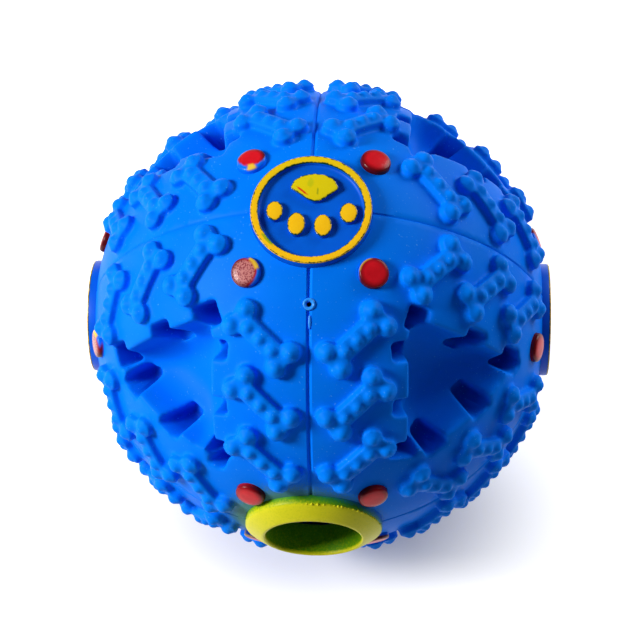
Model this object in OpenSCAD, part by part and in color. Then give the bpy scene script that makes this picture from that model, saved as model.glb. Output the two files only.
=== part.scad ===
// Treat dispensing ball: a hollow soft vinyl ball with a treat hole, raised bones,
// toothed pockets, paw medallions, red studs and a groaning sound unit inside.
// The origin is the middle of the ring face that the ball rests on, and +Z is up.
// The treat hole points along -Y, and the two half shells meet on the plane x = 0.

/* [Ball] */
// Radius of the ball's smooth skin
ball_r = 45; // [44:0.5:48]
// Thickness of the moulded wall
wall = 3; // [2.5:0.25:3.5]
// Width of the seam grooves
seam_w = 0.8; // [0.5:0.1:1.2]
// Depth of the seam grooves
seam_depth = 0.6; // [0.3:0.1:0.8]

/* [Bones] */
// Distance from a bone's middle to the centres of its end lobes
bone_reach = 5.5; // [4.5:0.25:6]
// Distance from a bone's centre line to the centre of each lobe
lobe_offset = 1.95; // [1.7:0.05:2.2]
// Radius of each lobe
lobe_r = 1.8; // [1.5:0.05:1.95]
// Width of a bone's shaft
shaft_w = 3.1; // [2.4:0.1:3.6]
// Height of the bones above the skin
bone_h = 2.3; // [1.5:0.1:2.8]

/* [Pockets] */
// Distance from a pocket's axis to its toothed sides, at the skin
pocket_in = 9.2; // [8.5:0.1:9.8]
// Distance from a pocket's axis to its sides, at the floor
pocket_floor_in = 6.4; // [5:0.1:7.5]
// Depth of a pocket below the skin
pocket_depth = 9.5; // [8:0.25:10]
// Depth of the slots between the teeth, along the pocket's axis
slot_depth = 7.5; // [5:0.25:8]
// How far the slots reach back behind the toothed sides
tooth_depth = 3.2; // [2:0.1:3.5]

/* [Medallions] */
// Outer radius of a medallion
medal_r = 11.1; // [10.5:0.1:11.5]
// Height of a medallion's face above the top of the skin
medal_proud = 0.3; // [0.1:0.05:0.8]
// Width of the raised ring
ring_w = 1.5; // [1.2:0.1:2]
// Depth of the floor inside the ring
relief = 1.1; // [0.6:0.1:1.3]
// Thickness of the yellow layer on the ring and pads
layer_t = 0.3; // [0.2:0.05:0.5]
// Radius of the toe pads
toe_r = 1.55; // [1.3:0.05:1.6]
// Length of the straight part of a toe pad
toe_len = 0.9; // [0.5:0.1:1.2]
// Distance from the medallion's middle to the outer toes, across
toe_outer_x = 6.9; // [6.6:0.1:7]
// Distance from the medallion's middle to the inner toes, across
toe_inner_x = 2.45; // [2.2:0.05:2.6]
// Distance of the inner toes below the medallion's middle
toe_inner_y = 3.3; // [3:0.1:3.6]
// Radius of the main pad's broad middle
palm_r = 2.8; // [2.4:0.1:3]
// Distance from the medallion's middle to the middle of the main pad
palm_y = 4.7; // [4.4:0.1:5]

/* [Treat hole] */
// Radius of the treat hole
hole_r = 9.2; // [8:0.1:9.6]
// Outer radius of the collar
collar_r = 13.1; // [12.6:0.1:13.3]
// Height of the collar's outer edge above the top of the skin
collar_edge_h = 0.1; // [0:0.05:0.4]
// Height of the collar's lip above the top of the skin
lip_h = 1.8; // [1.2:0.1:2.4]
// Width of the flat lip round the hole
lip_w = 0.5; // [0.3:0.1:0.8]
// Thickness of the collar's throat
throat_t = 1.6; // [1.2:0.1:2]

/* [Studs] */
// Radius of a stud
stud_r = 2.8; // [2.4:0.1:2.9]
// Height of a stud above the skin
stud_h = 1.2; // [0.8:0.1:1.5]
// Rounding of a stud's top edge
stud_round = 0.6; // [0.3:0.1:0.7]
// Depth of a stud's seat below the skin
stud_sink = 0.6; // [0.4:0.1:1]
// Clearance between the studs and the collar's edge
stud_clear = 0.2; // [0.1:0.05:0.8]

/* [Vent] */
// Outer radius of the vent's eyelet
vent_r = 1.15; // [1:0.05:1.4]
// Radius of the vent's hole
vent_hole_r = 0.45; // [0.35:0.05:0.6]
// Height of the eyelet above the skin
vent_h = 0.35; // [0.2:0.05:0.6]

/* [Sound unit] */
// Outer radius of the sound tube
tube_r = 11; // [10.5:0.25:11.5]
// Wall of the sound tube
tube_wall = 1; // [0.8:0.1:1.4]
// Thickness of each end cap
cap_t = 2.5; // [2:0.25:3]
// Length of the cap's spigot inside the tube
cap_spigot = 3.5; // [2.5:0.25:4]
// Radius of the sound hole in each cap
cap_hole_r = 2; // [1:0.25:3]
// Wall of the socket that holds each end of the unit
socket_wall = 1.8; // [1.4:0.1:2]
// Depth of each socket
socket_depth = 6; // [4:0.5:7]
// Length of the sliding reed carrier
carrier_len = 22; // [18:0.5:26]
// Wall of the reed carrier's body
carrier_wall = 2.5; // [2:0.25:3]
// Thickness of the carrier's end flange
flange_t = 1.6; // [1.2:0.1:2]
// Length of the steel weight
weight_len = 14; // [10:0.5:15]
// Radial gap between the weight and the tube
weight_gap = 1; // [0.6:0.1:1.4]
// Thickness of the seal ring
seal_t = 1.8; // [1.2:0.1:2.2]
// Thickness of the reed
reed_t = 0.4; // [0.3:0.05:0.6]
// Width of the reed
reed_w = 3.2; // [2.4:0.1:3.6]

/* [Fits] */
// Side gap between a fixed piece and its seat
seat_gap = 0.05; // [0.03:0.01:0.1]
// Running gap between the seal ring and the tube
running_gap = 0.3; // [0.2:0.05:0.5]
// Gap round the weld tongue
tongue_gap = 0.1; // [0.05:0.01:0.15]
// How deep a flat seat lies below the skin at its edge
seat_sink = 0.2; // [0.1:0.05:0.3]
// Overrun of every cut
over = 1; // [0.5:0.1:1.5]

/* [Hidden] */
$fn = 64;

blue = "#0A6FE0";
yellow = "#FFC80A";
lime = "#D2C814";
red = "#C01E28";

// Angles that turn +Z to each pole of the ball
top_angles = [0, 0, 0];
bottom_angles = [180, 0, 0];
hole_angles = [90, 0, 0];
back_angles = [-90, 0, 0];
left_angles = [0, -90, 0];
right_angles = [0, 90, 0];

// Angles along a seam from one pole to the next, where the three bones of a row lie
bone_angles = [30.7, 46.2, 61.7];
bone_side_angle = 10.9;
bone_tilt = 42.6;
stud_angle = asin((collar_r + stud_r + stud_clear) / ball_r);
vent_angle = 22.7;
quarter_angle = 90;
octant_angle = atan(1 / sqrt(2));

cavity_r = ball_r - wall;
bone_top_r = ball_r + bone_h;
outer_r = bone_top_r + over;
face_d = ball_r + medal_proud;

function skin_height(r) = sqrt(ball_r * ball_r - r * r);
medal_seat_d = skin_height(medal_r) - seat_sink;
collar_seat_d = skin_height(collar_r) - seat_sink;
stud_seat_d = skin_height(stud_r) - stud_sink;
vent_seat_d = ball_r - wall / 2;

// Weld tongue in the middle of the wall
tongue_w = wall / 5;
tongue_len = wall / 3;
tongue_r = cavity_r + wall * 2 / 5;

// Angle from a pole at which the seam grooves end, inside the edge of the medallion there
groove_end = asin(medal_r / ball_r) * 2 / 3;

pocket_floor_d = ball_r - pocket_depth;
slot_floor_d = ball_r - slot_depth;
pocket_slope = (pocket_in - pocket_floor_in) / (skin_height(pocket_in) - pocket_floor_d);
pocket_corner = 1.76 * pocket_in;
// Each slot's ends along a toothed side, as shares of the side's distance from the axis
slot_shares = [[0.64, 1.05], [-0.46, -0.12], [-1.25, -1.02]];
slot_corner_r = norm([pocket_in + tooth_depth, pocket_in * 1.25]);
cup_floor_d = pocket_floor_d - wall;
cup_floor_r = slot_corner_r + wall / 3;
cup_mouth_r = slot_corner_r + wall * 2;

socket_floor_d = cavity_r - wall * 2 / 3;
socket_r = tube_r + seat_gap + socket_wall;
unit_half = socket_floor_d - seat_gap;
tube_half = unit_half - cap_t;
bore_r = tube_r - tube_wall;
carrier_r = tube_r / 2;
air_r = carrier_r - carrier_wall;
stop_half = tube_half - cap_spigot;
weight_r = bore_r - weight_gap;
seal_r = bore_r - running_gap;

// Stands the ball on its bottom medallion.
module standing() {
    translate([0, 0, face_d]) children();
}

// Draws a thing made on +Z at another pole.
module at_pole(turn) {
    standing() rotate(turn) children();
}

// Repeats a thing made on the seam from +Z to -Y, on the four quarters of the middle seam.
module on_middle_seam() {
    for (arc = [0:3]) {
        rotate([arc * quarter_angle, 0, 0]) children();
    }
}

// Repeats it on the four quarters of the other two seams that lie on one half: 1 is right, -1 is left.
module on_cross_seams(side) {
    first = side > 0 ? 0 : 2;
    for (arc = [0, 1]) {
        rotate([0, 0, quarter_angle]) rotate([(first + arc) * quarter_angle, 0, 0]) children();
        rotate([0, -quarter_angle, 0]) rotate([(first + arc + 1) * quarter_angle, 0, 0]) children();
    }
}

// Repeats a thing made beside the seam from +Z to -Y, on its +X side, along all the seams of one half.
module along_seams(side) {
    on_middle_seam() mirror([side > 0 ? 0 : 1, 0, 0]) children();
    on_cross_seams(side) {
        for (flip = [0, 1]) {
            mirror([flip, 0, 0]) children();
        }
    }
}

// Repeats a thing made on the axis of one octant, on the four of one half.
module at_octants(side) {
    for (turn = [0:3]) {
        rotate([turn * quarter_angle, 0, 0]) mirror([side > 0 ? 0 : 1, 0, 0]) on_octant() children();
    }
}

// Brings +Z to the axis of the octant at +X, -Y, +Z, with -X towards its seam.
module on_octant() {
    rotate([quarter_angle / 2, 0, 0]) rotate([0, octant_angle, 0]) children();
}

module bone_outline() {
    square([2 * bone_reach, shaft_w], center = true);
    for (end = [-1, 1]) {
        translate([end * bone_reach, 0]) {
            square([lobe_r, 2 * lobe_offset], center = true);
            for (side = [-1, 1]) {
                translate([0, side * lobe_offset]) circle(lobe_r);
            }
        }
    }
}

module bones(side) {
    intersection() {
        sphere(bone_top_r);
        along_seams(side) {
            for (a = bone_angles) {
                rotate([a, 0, 0]) rotate([0, bone_side_angle, 0]) rotate([0, 0, bone_tilt])
                    translate([0, 0, ball_r - wall / 2]) linear_extrude(outer_r - ball_r) bone_outline();
            }
        }
    }
}

// Outline of a pocket: a triangle of inradius r with its corners cut off.
module pocket_outline(r) {
    reach = pocket_corner * r / pocket_in;
    cut = (2 * r - reach) / sqrt(3);
    polygon([
        for (turn = [0, 120, 240], side = [-1, 1])
            [reach * cos(turn) - side * cut * sin(turn), reach * sin(turn) + side * cut * cos(turn)]
    ]);
}

// The sloping well of a pocket, from its floor out past the bones.
module pocket_well() {
    height = outer_r - pocket_floor_d;
    top_in = pocket_floor_in + pocket_slope * height;
    translate([0, 0, pocket_floor_d])
        linear_extrude(height, scale = top_in / pocket_floor_in) pocket_outline(pocket_floor_in);
}

// The upright slots between the teeth, along one side of a pocket.
module pocket_slots() {
    reach = pocket_in + tooth_depth;
    for (span = slot_shares * pocket_in) {
        translate([-reach, span[0], slot_floor_d])
            cube([reach - pocket_floor_in + over, span[1] - span[0], outer_r - slot_floor_d]);
    }
}

// V-shaped groove along the seam from +Z to -Y, which ends under the pieces at both poles.
module seam_groove() {
    half_w = seam_w / 2 * (seam_depth + over) / seam_depth;
    rotate([quarter_angle, 0, 0]) rotate([0, -quarter_angle, 0]) rotate([0, 0, groove_end])
        rotate_extrude(angle = quarter_angle - 2 * groove_end)
            polygon([[ball_r - seam_depth, 0], [ball_r + over, half_w], [ball_r + over, -half_w]]);
}

module weld_tongue(gap) {
    rotate([0, quarter_angle, 0]) translate([0, 0, -wall / 2]) difference() {
        cylinder(wall / 2 + tongue_len + gap, r = tongue_r + tongue_w + gap);
        translate([0, 0, -over])
            cylinder(wall / 2 + tongue_len + gap + 2 * over, r = tongue_r - gap);
    }
}

// Flat seats, holes and recesses for the pieces that one half of the shell carries.
module seats(side) {
    for (turn = [top_angles, bottom_angles, back_angles, side > 0 ? right_angles : left_angles]) {
        rotate(turn) translate([0, 0, medal_seat_d])
            cylinder(outer_r - medal_seat_d, r = medal_r + seat_gap);
    }
    rotate(hole_angles) {
        translate([0, 0, collar_seat_d]) cylinder(outer_r - collar_seat_d, r = collar_r + seat_gap);
        cylinder(outer_r, r = hole_r + throat_t + seat_gap);
    }
    for (turn = [top_angles, bottom_angles, hole_angles, back_angles]) {
        rotate(turn) stud_places(side > 0 ? [0, 3] : [1, 2]) stud_seat();
    }
    rotate(side > 0 ? right_angles : left_angles) stud_places([0:3]) stud_seat();
    rotate([vent_angle, 0, 0]) {
        translate([0, 0, vent_seat_d]) cylinder(outer_r - vent_seat_d, r = vent_r + seat_gap);
        translate([0, 0, cavity_r - over]) cylinder(outer_r - cavity_r, r = vent_hole_r);
    }
}

module stud_seat() {
    translate([0, 0, stud_seat_d]) cylinder(outer_r - stud_seat_d, r = stud_r + seat_gap);
}

module stud_places(turns) {
    for (turn = turns) {
        rotate([0, 0, quarter_angle / 2 + turn * quarter_angle]) rotate([0, stud_angle, 0]) children();
    }
}

// Solid half ball with its flat face on the plane x = 0.
module dome(side) {
    rotate([0, side * quarter_angle, 0]) rotate_extrude() intersection() {
        circle(ball_r);
        square(ball_r);
    }
}

// The hollow of one half, less the cups that line the pockets and the socket of the sound unit.
module hollow(side) {
    difference() {
        rotate([0, -side * quarter_angle, 0]) sphere(cavity_r);
        at_octants(side) translate([0, 0, cup_floor_d])
            cylinder(outer_r - cup_floor_d, r1 = cup_floor_r, r2 = cup_mouth_r);
        rotate([0, side * quarter_angle, 0]) difference() {
            translate([0, 0, socket_floor_d - socket_depth])
                cylinder(outer_r - socket_floor_d + socket_depth, r = socket_r);
            translate([0, 0, socket_floor_d - socket_depth - over])
                cylinder(socket_depth + over, r = tube_r + seat_gap);
        }
    }
}

// One half of the shell before its tongue is added.
module shell_half(side) {
    difference() {
        union() {
            dome(side);
            bones(side);
        }
        hollow(side);
        at_octants(side) pocket_well();
        along_seams(side) on_octant() pocket_slots();
        on_middle_seam() seam_groove();
        on_cross_seams(side) seam_groove();
        seats(side);
        if (side > 0) weld_tongue(tongue_gap);
    }
}

module shell_left() {
    color(blue) standing() union() {
        shell_half(-1);
        difference() {
            weld_tongue(0);
            seats(-1);
            seats(1);
        }
    }
}

module shell_right() {
    color(blue) standing() shell_half(1);
}

module treat_collar() {
    inner_d = sqrt(cavity_r * cavity_r - (hole_r + throat_t) * (hole_r + throat_t));
    color(lime) at_pole(hole_angles) rotate_extrude() polygon([
        [hole_r, inner_d],
        [hole_r + throat_t, inner_d],
        [hole_r + throat_t, collar_seat_d],
        [collar_r, collar_seat_d],
        [collar_r, ball_r + collar_edge_h],
        [hole_r + lip_w, ball_r + lip_h],
        [hole_r, ball_r + lip_h]
    ]);
}

module vent_eyelet() {
    color(blue) standing() rotate([vent_angle, 0, 0]) translate([0, 0, vent_seat_d]) difference() {
        cylinder(ball_r + vent_h - vent_seat_d, r = vent_r);
        translate([0, 0, -over]) cylinder(ball_r + vent_h - vent_seat_d + 2 * over, r = vent_hole_r);
    }
}

// The raised ring and the five pads, seen from the front.
module emblem_outline() {
    difference() {
        circle(medal_r);
        circle(medal_r - ring_w);
    }
    for (side = [-1, 1]) {
        toe(side * toe_outer_x, 0);
        toe(side * toe_inner_x, -toe_inner_y);
        translate([side * palm_r, palm_y]) circle(toe_r);
    }
    translate([0, palm_y]) circle(palm_r);
    polygon([
        [-palm_r - toe_r, palm_y],
        [-toe_r / 2, palm_y - palm_r - layer_t],
        [toe_r / 2, palm_y - palm_r - layer_t],
        [palm_r + toe_r, palm_y]
    ]);
}

module toe(x, y) {
    for (end = [-1, 1]) {
        translate([x, y + end * toe_len / 2]) circle(toe_r);
    }
    translate([x, y]) square([2 * toe_r, toe_len], center = true);
}

module medallion(turn) {
    color(blue) at_pole(turn) {
        translate([0, 0, medal_seat_d]) cylinder(face_d - relief - medal_seat_d, r = medal_r);
        translate([0, 0, medal_seat_d]) linear_extrude(face_d - layer_t - medal_seat_d) emblem_outline();
    }
}

module paw_emblem(turn) {
    color(yellow) at_pole(turn) translate([0, 0, face_d - layer_t]) linear_extrude(layer_t)
        emblem_outline();
}

module studs(turn) {
    height = ball_r + stud_h - stud_seat_d;
    color(red) at_pole(turn) stud_places([0:3]) translate([0, 0, stud_seat_d]) {
        cylinder(height - stud_round, r = stud_r);
        translate([0, 0, height - stud_round]) rotate_extrude() intersection() {
            union() {
                square([stud_r - stud_round, stud_round]);
                translate([stud_r - stud_round, 0]) circle(stud_round);
            }
            square([stud_r, stud_round]);
        }
    }
}

module sound_tube() {
    color("white") standing() rotate([0, quarter_angle, 0]) difference() {
        cylinder(2 * tube_half, r = tube_r, center = true);
        cylinder(2 * tube_half + over, r = bore_r, center = true);
    }
}

module tube_cap(turn) {
    color("gainsboro") at_pole(turn) difference() {
        union() {
            translate([0, 0, tube_half]) cylinder(cap_t, r = tube_r);
            translate([0, 0, stop_half]) cylinder(cap_spigot, r = bore_r - seat_gap);
        }
        translate([0, 0, stop_half - over]) cylinder(cap_spigot + cap_t + 2 * over, r = cap_hole_r);
    }
}

// The carrier's flange is at its left end, and the reed is across its right end.
module reed_carrier() {
    color("white") standing() rotate([0, quarter_angle, 0]) difference() {
        union() {
            cylinder(carrier_len, r = carrier_r, center = true);
            translate([0, 0, -carrier_len / 2]) cylinder(flange_t, r = weight_r);
        }
        cylinder(carrier_len + over, r = air_r, center = true);
        translate([0, 0, carrier_len / 2 - reed_t])
            cube([2 * carrier_r - tube_wall, reed_w + seat_gap, 2 * reed_t], center = true);
    }
}

module slide_weight() {
    color("silver") standing() rotate([0, quarter_angle, 0]) translate([0, 0, flange_t - carrier_len / 2])
        difference() {
            cylinder(weight_len, r = weight_r);
            translate([0, 0, -over]) cylinder(weight_len + 2 * over, r = carrier_r + seat_gap);
        }
}

module reed_tongue() {
    length = 2 * carrier_r - tube_wall - seat_gap;
    color("goldenrod") standing() rotate([0, quarter_angle, 0])
        translate([0, 0, carrier_len / 2 - reed_t * 3 / 2]) cube([length, reed_w, reed_t], center = true);
}

module seal_ring() {
    color("dimgray") standing() rotate([0, quarter_angle, 0])
        translate([0, 0, flange_t - carrier_len / 2 + weight_len]) difference() {
            cylinder(seal_t, r = seal_r);
            translate([0, 0, -over]) cylinder(seal_t + 2 * over, r = carrier_r + seat_gap);
        }
}

shell_left();
shell_right();
treat_collar();
vent_eyelet();
medallion(top_angles);  // medallion_top
medallion(bottom_angles);  // medallion_bottom
medallion(back_angles);  // medallion_back
medallion(left_angles);  // medallion_left
medallion(right_angles);  // medallion_right
paw_emblem(top_angles);  // paw_emblem_top
paw_emblem(bottom_angles);  // paw_emblem_bottom
paw_emblem(back_angles);  // paw_emblem_back
paw_emblem(left_angles);  // paw_emblem_left
paw_emblem(right_angles);  // paw_emblem_right
studs(top_angles);  // studs_top
studs(bottom_angles);  // studs_bottom
studs(hole_angles);  // studs_hole
studs(back_angles);  // studs_back
studs(left_angles);  // studs_left
studs(right_angles);  // studs_right
sound_tube();
tube_cap(left_angles);  // tube_cap_left
tube_cap(right_angles);  // tube_cap_right
reed_carrier();
slide_weight();
reed_tongue();
seal_ring();
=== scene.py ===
# Looks of the treat dispensing ball: a soft vinyl ball with raised bones, toothed pockets, paw
# medallions, red studs and a treat hole. Pieces are modelled in millimetres round the ball's middle,
# and each is brought to its place in metres when it is finished.
import math

import bpy
from mathutils import Matrix, Vector


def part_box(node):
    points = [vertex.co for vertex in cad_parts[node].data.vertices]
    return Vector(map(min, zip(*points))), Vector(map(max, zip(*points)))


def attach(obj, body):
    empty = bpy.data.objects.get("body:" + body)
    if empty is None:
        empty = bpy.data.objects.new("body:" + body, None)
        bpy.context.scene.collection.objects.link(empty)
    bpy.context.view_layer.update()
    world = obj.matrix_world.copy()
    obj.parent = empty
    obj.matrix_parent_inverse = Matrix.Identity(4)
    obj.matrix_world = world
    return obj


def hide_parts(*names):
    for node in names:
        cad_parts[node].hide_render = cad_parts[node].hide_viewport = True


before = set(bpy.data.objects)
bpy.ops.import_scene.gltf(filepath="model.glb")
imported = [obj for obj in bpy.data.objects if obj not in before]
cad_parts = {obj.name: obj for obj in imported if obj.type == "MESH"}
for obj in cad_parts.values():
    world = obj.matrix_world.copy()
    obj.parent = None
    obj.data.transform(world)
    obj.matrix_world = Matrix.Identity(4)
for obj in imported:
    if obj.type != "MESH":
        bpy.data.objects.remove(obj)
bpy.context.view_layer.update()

# The ball: one moulding of soft PVC, cast in a mould of two halves, so a parting line runs over
# it through the top medallion and the treat hole. Two fainter lines cross it. The wall is 3 mm
# thick, and at each of the eight pockets it dips inwards as a toothed cup.
MM = 0.001
CENTRE = (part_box("medallion_top")[1].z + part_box("medallion_bottom")[0].z) / 2
SKIN = 45
WALL = 3
REACH = 50      # beyond everything on the ball


def turn(x, y, z):
    """A turn about X, then about Y, then about Z, in degrees."""
    return (
        Matrix.Rotation(math.radians(z), 4, "Z")
        @ Matrix.Rotation(math.radians(y), 4, "Y")
        @ Matrix.Rotation(math.radians(x), 4, "X")
    )


def select_only(*pieces):
    bpy.ops.object.select_all(action="DESELECT")
    for piece in pieces:
        piece.select_set(True)
    bpy.context.view_layer.objects.active = pieces[0]


def modified(piece, kind, **settings):
    """Gives the piece a modifier and applies it."""
    select_only(piece)
    modifier = piece.modifiers.new(kind, kind)
    for name, value in settings.items():
        setattr(modifier, name, value)
    bpy.ops.object.modifier_apply(modifier=modifier.name)
    return piece


def moved(piece, place):
    """Moves the piece's mesh, and keeps it right side out where the move mirrors it."""
    piece.data.transform(place)
    if place.determinant() < 0:
        piece.data.flip_normals()
    return piece


def copies(piece, places):
    """Copies with their own meshes, one at each place. The first one is left as it was."""
    made = []
    for place in places:
        copy = piece.copy()
        copy.data = piece.data.copy()
        bpy.context.collection.objects.link(copy)
        made.append(moved(copy, place))
    return made


def joined(name, pieces):
    select_only(*pieces)
    bpy.ops.object.join()
    piece = bpy.context.object
    piece.name = piece.data.name = name
    return piece


def combined(piece, other, operation):
    """Cuts the other piece away from this one, or adds it, and deletes it."""
    modified(piece, "BOOLEAN", object=other, operation=operation, solver="MANIFOLD")
    bpy.data.objects.remove(other)
    return piece


def turned(name, rings, sides=96, hollow=False):
    """A lathe form: a circle is extruded from ring to ring, each a (radius, height) pair.
    Its ends are filled, or where it is hollow, the last ring is bridged to the first."""
    bpy.ops.object.select_all(action="DESELECT")
    radius, height = rings[0]
    bpy.ops.mesh.primitive_circle_add(vertices=sides, radius=radius)
    piece = bpy.context.object
    piece.name = piece.data.name = name
    bpy.ops.object.mode_set(mode="EDIT")
    bpy.ops.mesh.select_all(action="SELECT")
    bpy.ops.transform.translate(value=(0, 0, height))
    for next_radius, next_height in rings[1:]:
        step = (0, 0, next_height - height)
        bpy.ops.mesh.extrude_region_move(TRANSFORM_OT_translate={"value": step})
        widen = next_radius / radius
        bpy.ops.transform.resize(value=(widen, widen, 1), center_override=(0, 0, 0))
        radius, height = next_radius, next_height
    bpy.ops.mesh.select_all(action="DESELECT")
    bpy.ops.mesh.select_non_manifold()
    if hollow:
        bpy.ops.mesh.bridge_edge_loops()
    else:
        bpy.ops.mesh.fill_holes(sides=0)
    bpy.ops.mesh.select_all(action="SELECT")
    bpy.ops.mesh.normals_make_consistent(inside=False)
    bpy.ops.object.mode_set(mode="OBJECT")
    return piece


def cylinder(name, radius, low, high, sides=96):
    return turned(name, [(radius, low), (radius, high)], sides)


def block(name, low, high, round_off=0.0):
    """A box between two corners, with rounded edges."""
    low, high = Vector(low), Vector(high)
    bpy.ops.object.select_all(action="DESELECT")
    bpy.ops.mesh.primitive_cube_add(size=1)
    piece = bpy.context.object
    piece.name = piece.data.name = name
    piece.data.transform(Matrix.LocRotScale((low + high) / 2, None, high - low))
    if round_off:
        modified(piece, "BEVEL", width=round_off, segments=3)
    return piece


# The bones: three on each side of each quarter of the three lines, 72 in all, moulded with the
# wall. Each is a low relief with round bumps: two larger ones at each end, and three smaller ones
# along the shaft. A bone is modelled flat and then bent on to the ball.
BONE_REACH = 5.5
LOBE_OFFSET = 1.95
LOBE_R = 1.95
SHAFT_W = 3.6
RELIEF = 1.65
BONE_ANGLES = (30.7, 46.2, 61.7)
BONE_SIDE_ANGLE = 10.9
BONE_TILT = 42.6
LOBE_BUMP = (1.4, 2.6)      # radius, and height of its top
NECK_BUMP = (1.15, 2.55)
SHAFT_BUMP = (1.1, 2.5)
NECK_REACH = 2.95
WEB_REACH = 1.3      # half the length of the web between the two lobes of an end
BONE_VOXEL = 0.16
BONE_SMOOTHING = 9
BONE_FACES_KEPT = 0.25


def bump(x, y, radius, top):
    bpy.ops.object.select_all(action="DESELECT")
    bpy.ops.mesh.primitive_uv_sphere_add(segments=24, ring_count=12, radius=radius)
    return moved(bpy.context.object, Matrix.Translation((x, y, top - radius)))


def wrapped(piece):
    """Bends a piece modelled on the plane z = 0 on to the skin at the top of the ball."""
    for vertex in piece.data.vertices:
        height = vertex.co.z
        vertex.co = Vector((vertex.co.x, vertex.co.y, SKIN)).normalized() * (SKIN + height)
    return piece


def bone():
    shaft = block("bone", (-BONE_REACH, -SHAFT_W / 2, -WALL / 2), (BONE_REACH, SHAFT_W / 2, RELIEF))
    parts = [shaft, bump(0, 0, *SHAFT_BUMP)]
    for end in (-1, 1):
        parts.append(block("web", (end * BONE_REACH - WEB_REACH, -LOBE_OFFSET, -WALL / 2),
                           (end * BONE_REACH + WEB_REACH, LOBE_OFFSET, RELIEF)))
        parts.append(bump(end * NECK_REACH, 0, *NECK_BUMP))
        for side in (-1, 1):
            lobe = cylinder("lobe", LOBE_R, -WALL / 2, RELIEF, 32)
            x, y = end * BONE_REACH, side * LOBE_OFFSET
            parts.append(moved(lobe, Matrix.Translation((x, y, 0))))
            parts.append(bump(x, y, *LOBE_BUMP))
    piece = joined("bone", parts)
    modified(piece, "REMESH", mode="VOXEL", voxel_size=BONE_VOXEL)
    modified(piece, "SMOOTH", factor=0.5, iterations=BONE_SMOOTHING)
    modified(piece, "DECIMATE", ratio=BONE_FACES_KEPT)
    return wrapped(piece)


# Turns that bring the line from the top of the ball to the treat hole on to each quarter of the
# middle, the cross and the level line, and each side of it.
BOTH_SIDES = (Matrix.Identity(4), Matrix.Scale(-1, 4, (1, 0, 0)))
LINES = {"middle": turn(0, 0, 0), "cross": turn(0, 0, 90), "level": turn(0, -90, 0)}
line_sides = {
    line: [place @ turn(90 * quarter, 0, 0) @ side for quarter in range(4) for side in BOTH_SIDES]
    for line, place in LINES.items()
}
first_bone = bone()
bones = copies(first_bone, [
    side @ turn(angle, 0, 0) @ turn(0, BONE_SIDE_ANGLE, 0) @ turn(0, 0, BONE_TILT)
    for sides in line_sides.values() for side in sides for angle in BONE_ANGLES
])
bpy.data.objects.remove(first_bone)

# The pockets: eight three-sided cups with sloping walls. Each side has a slot near each corner and
# one near its middle, which leave blunt teeth, so that paste and crumbs stay in the cup and a dog's
# teeth are rubbed. The slots narrow as they go down, so that the mould comes out of them.
POCKET_IN = 9.3      # from a cup's middle to a side, at the skin
FLOOR_IN = 6.0      # and the same at its floor
POCKET_DEPTH = 9.5
FLOOR_D = SKIN - POCKET_DEPTH
SLOPE = (POCKET_IN - FLOOR_IN) / POCKET_DEPTH      # how far a wall leans out for each unit of height
CORNER_ROUND = 5.0
SLOT_DEPTH = 9
SLOT_FLOOR_D = SKIN - SLOT_DEPTH
SLOT_BACK_LEAN = 0.2
SLOT_ROUND = 0.5
# For the sides on each line: how far back the slots go, the leans of their two walls, and the two
# ends of each slot.
SLOTS = {
    "middle": (12.3, (0.08, 0.1), (5.9, 10.0), (-4.6, -0.9), (-13.8, -9.8)),
    "cross": (11.4, (0.1, 0.08), (9.4, 14.2), (-4.2, 0.9), (-15.5, -9.8)),
    "level": (11.2, (0.1, 0.2), (5.4, 10.9), (-6.0, -0.5), (-16.3, -12.0)),
}
OCTANT = turn(45, 0, 0) @ turn(0, math.degrees(math.atan(math.sqrt(0.5))), 0)


def pocket_well():
    """The hollow of a pocket: a three-sided cone with rounded corners, one of them at +X."""
    height = REACH - FLOOR_D
    bpy.ops.object.select_all(action="DESELECT")
    bpy.ops.mesh.primitive_cone_add(
        vertices=3, radius1=2 * FLOOR_IN, radius2=2 * (FLOOR_IN + SLOPE * height), depth=height,
        rotation=(0, 0, -math.pi / 2))
    bpy.ops.object.transform_apply(rotation=True)
    piece = bpy.context.object
    moved(piece, Matrix.Translation((0, 0, FLOOR_D + height / 2)))
    piece.name = "pocket_well"
    bpy.ops.object.mode_set(mode="EDIT")
    bpy.ops.mesh.select_all(action="DESELECT")
    bpy.ops.object.mode_set(mode="OBJECT")
    for edge in piece.data.edges:
        ends = [piece.data.vertices[v].co.z for v in edge.vertices]
        edge.select = abs(ends[0] - ends[1]) > 1
    bpy.ops.object.mode_set(mode="EDIT")
    bpy.ops.mesh.bevel(offset=CORNER_ROUND, segments=8, affect="EDGES")
    bpy.ops.object.mode_set(mode="OBJECT")
    return piece


def slot(low, high, low_lean, high_lean):
    """The hollow of a slot. Low and high are its faces' x and y at the skin, and each lean is how
    far such a face moves out for each unit of height."""
    piece = block("slot", (0, 0, SLOT_FLOOR_D), (1, 1, REACH))
    for vertex in piece.data.vertices:
        rise = vertex.co.z - SKIN
        for axis in (0, 1):
            if vertex.co[axis] < 0.5:
                vertex.co[axis] = low[axis] - low_lean[axis] * rise
            else:
                vertex.co[axis] = high[axis] + high_lean[axis] * rise
    return modified(piece, "BEVEL", width=SLOT_ROUND, segments=3)


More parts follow.
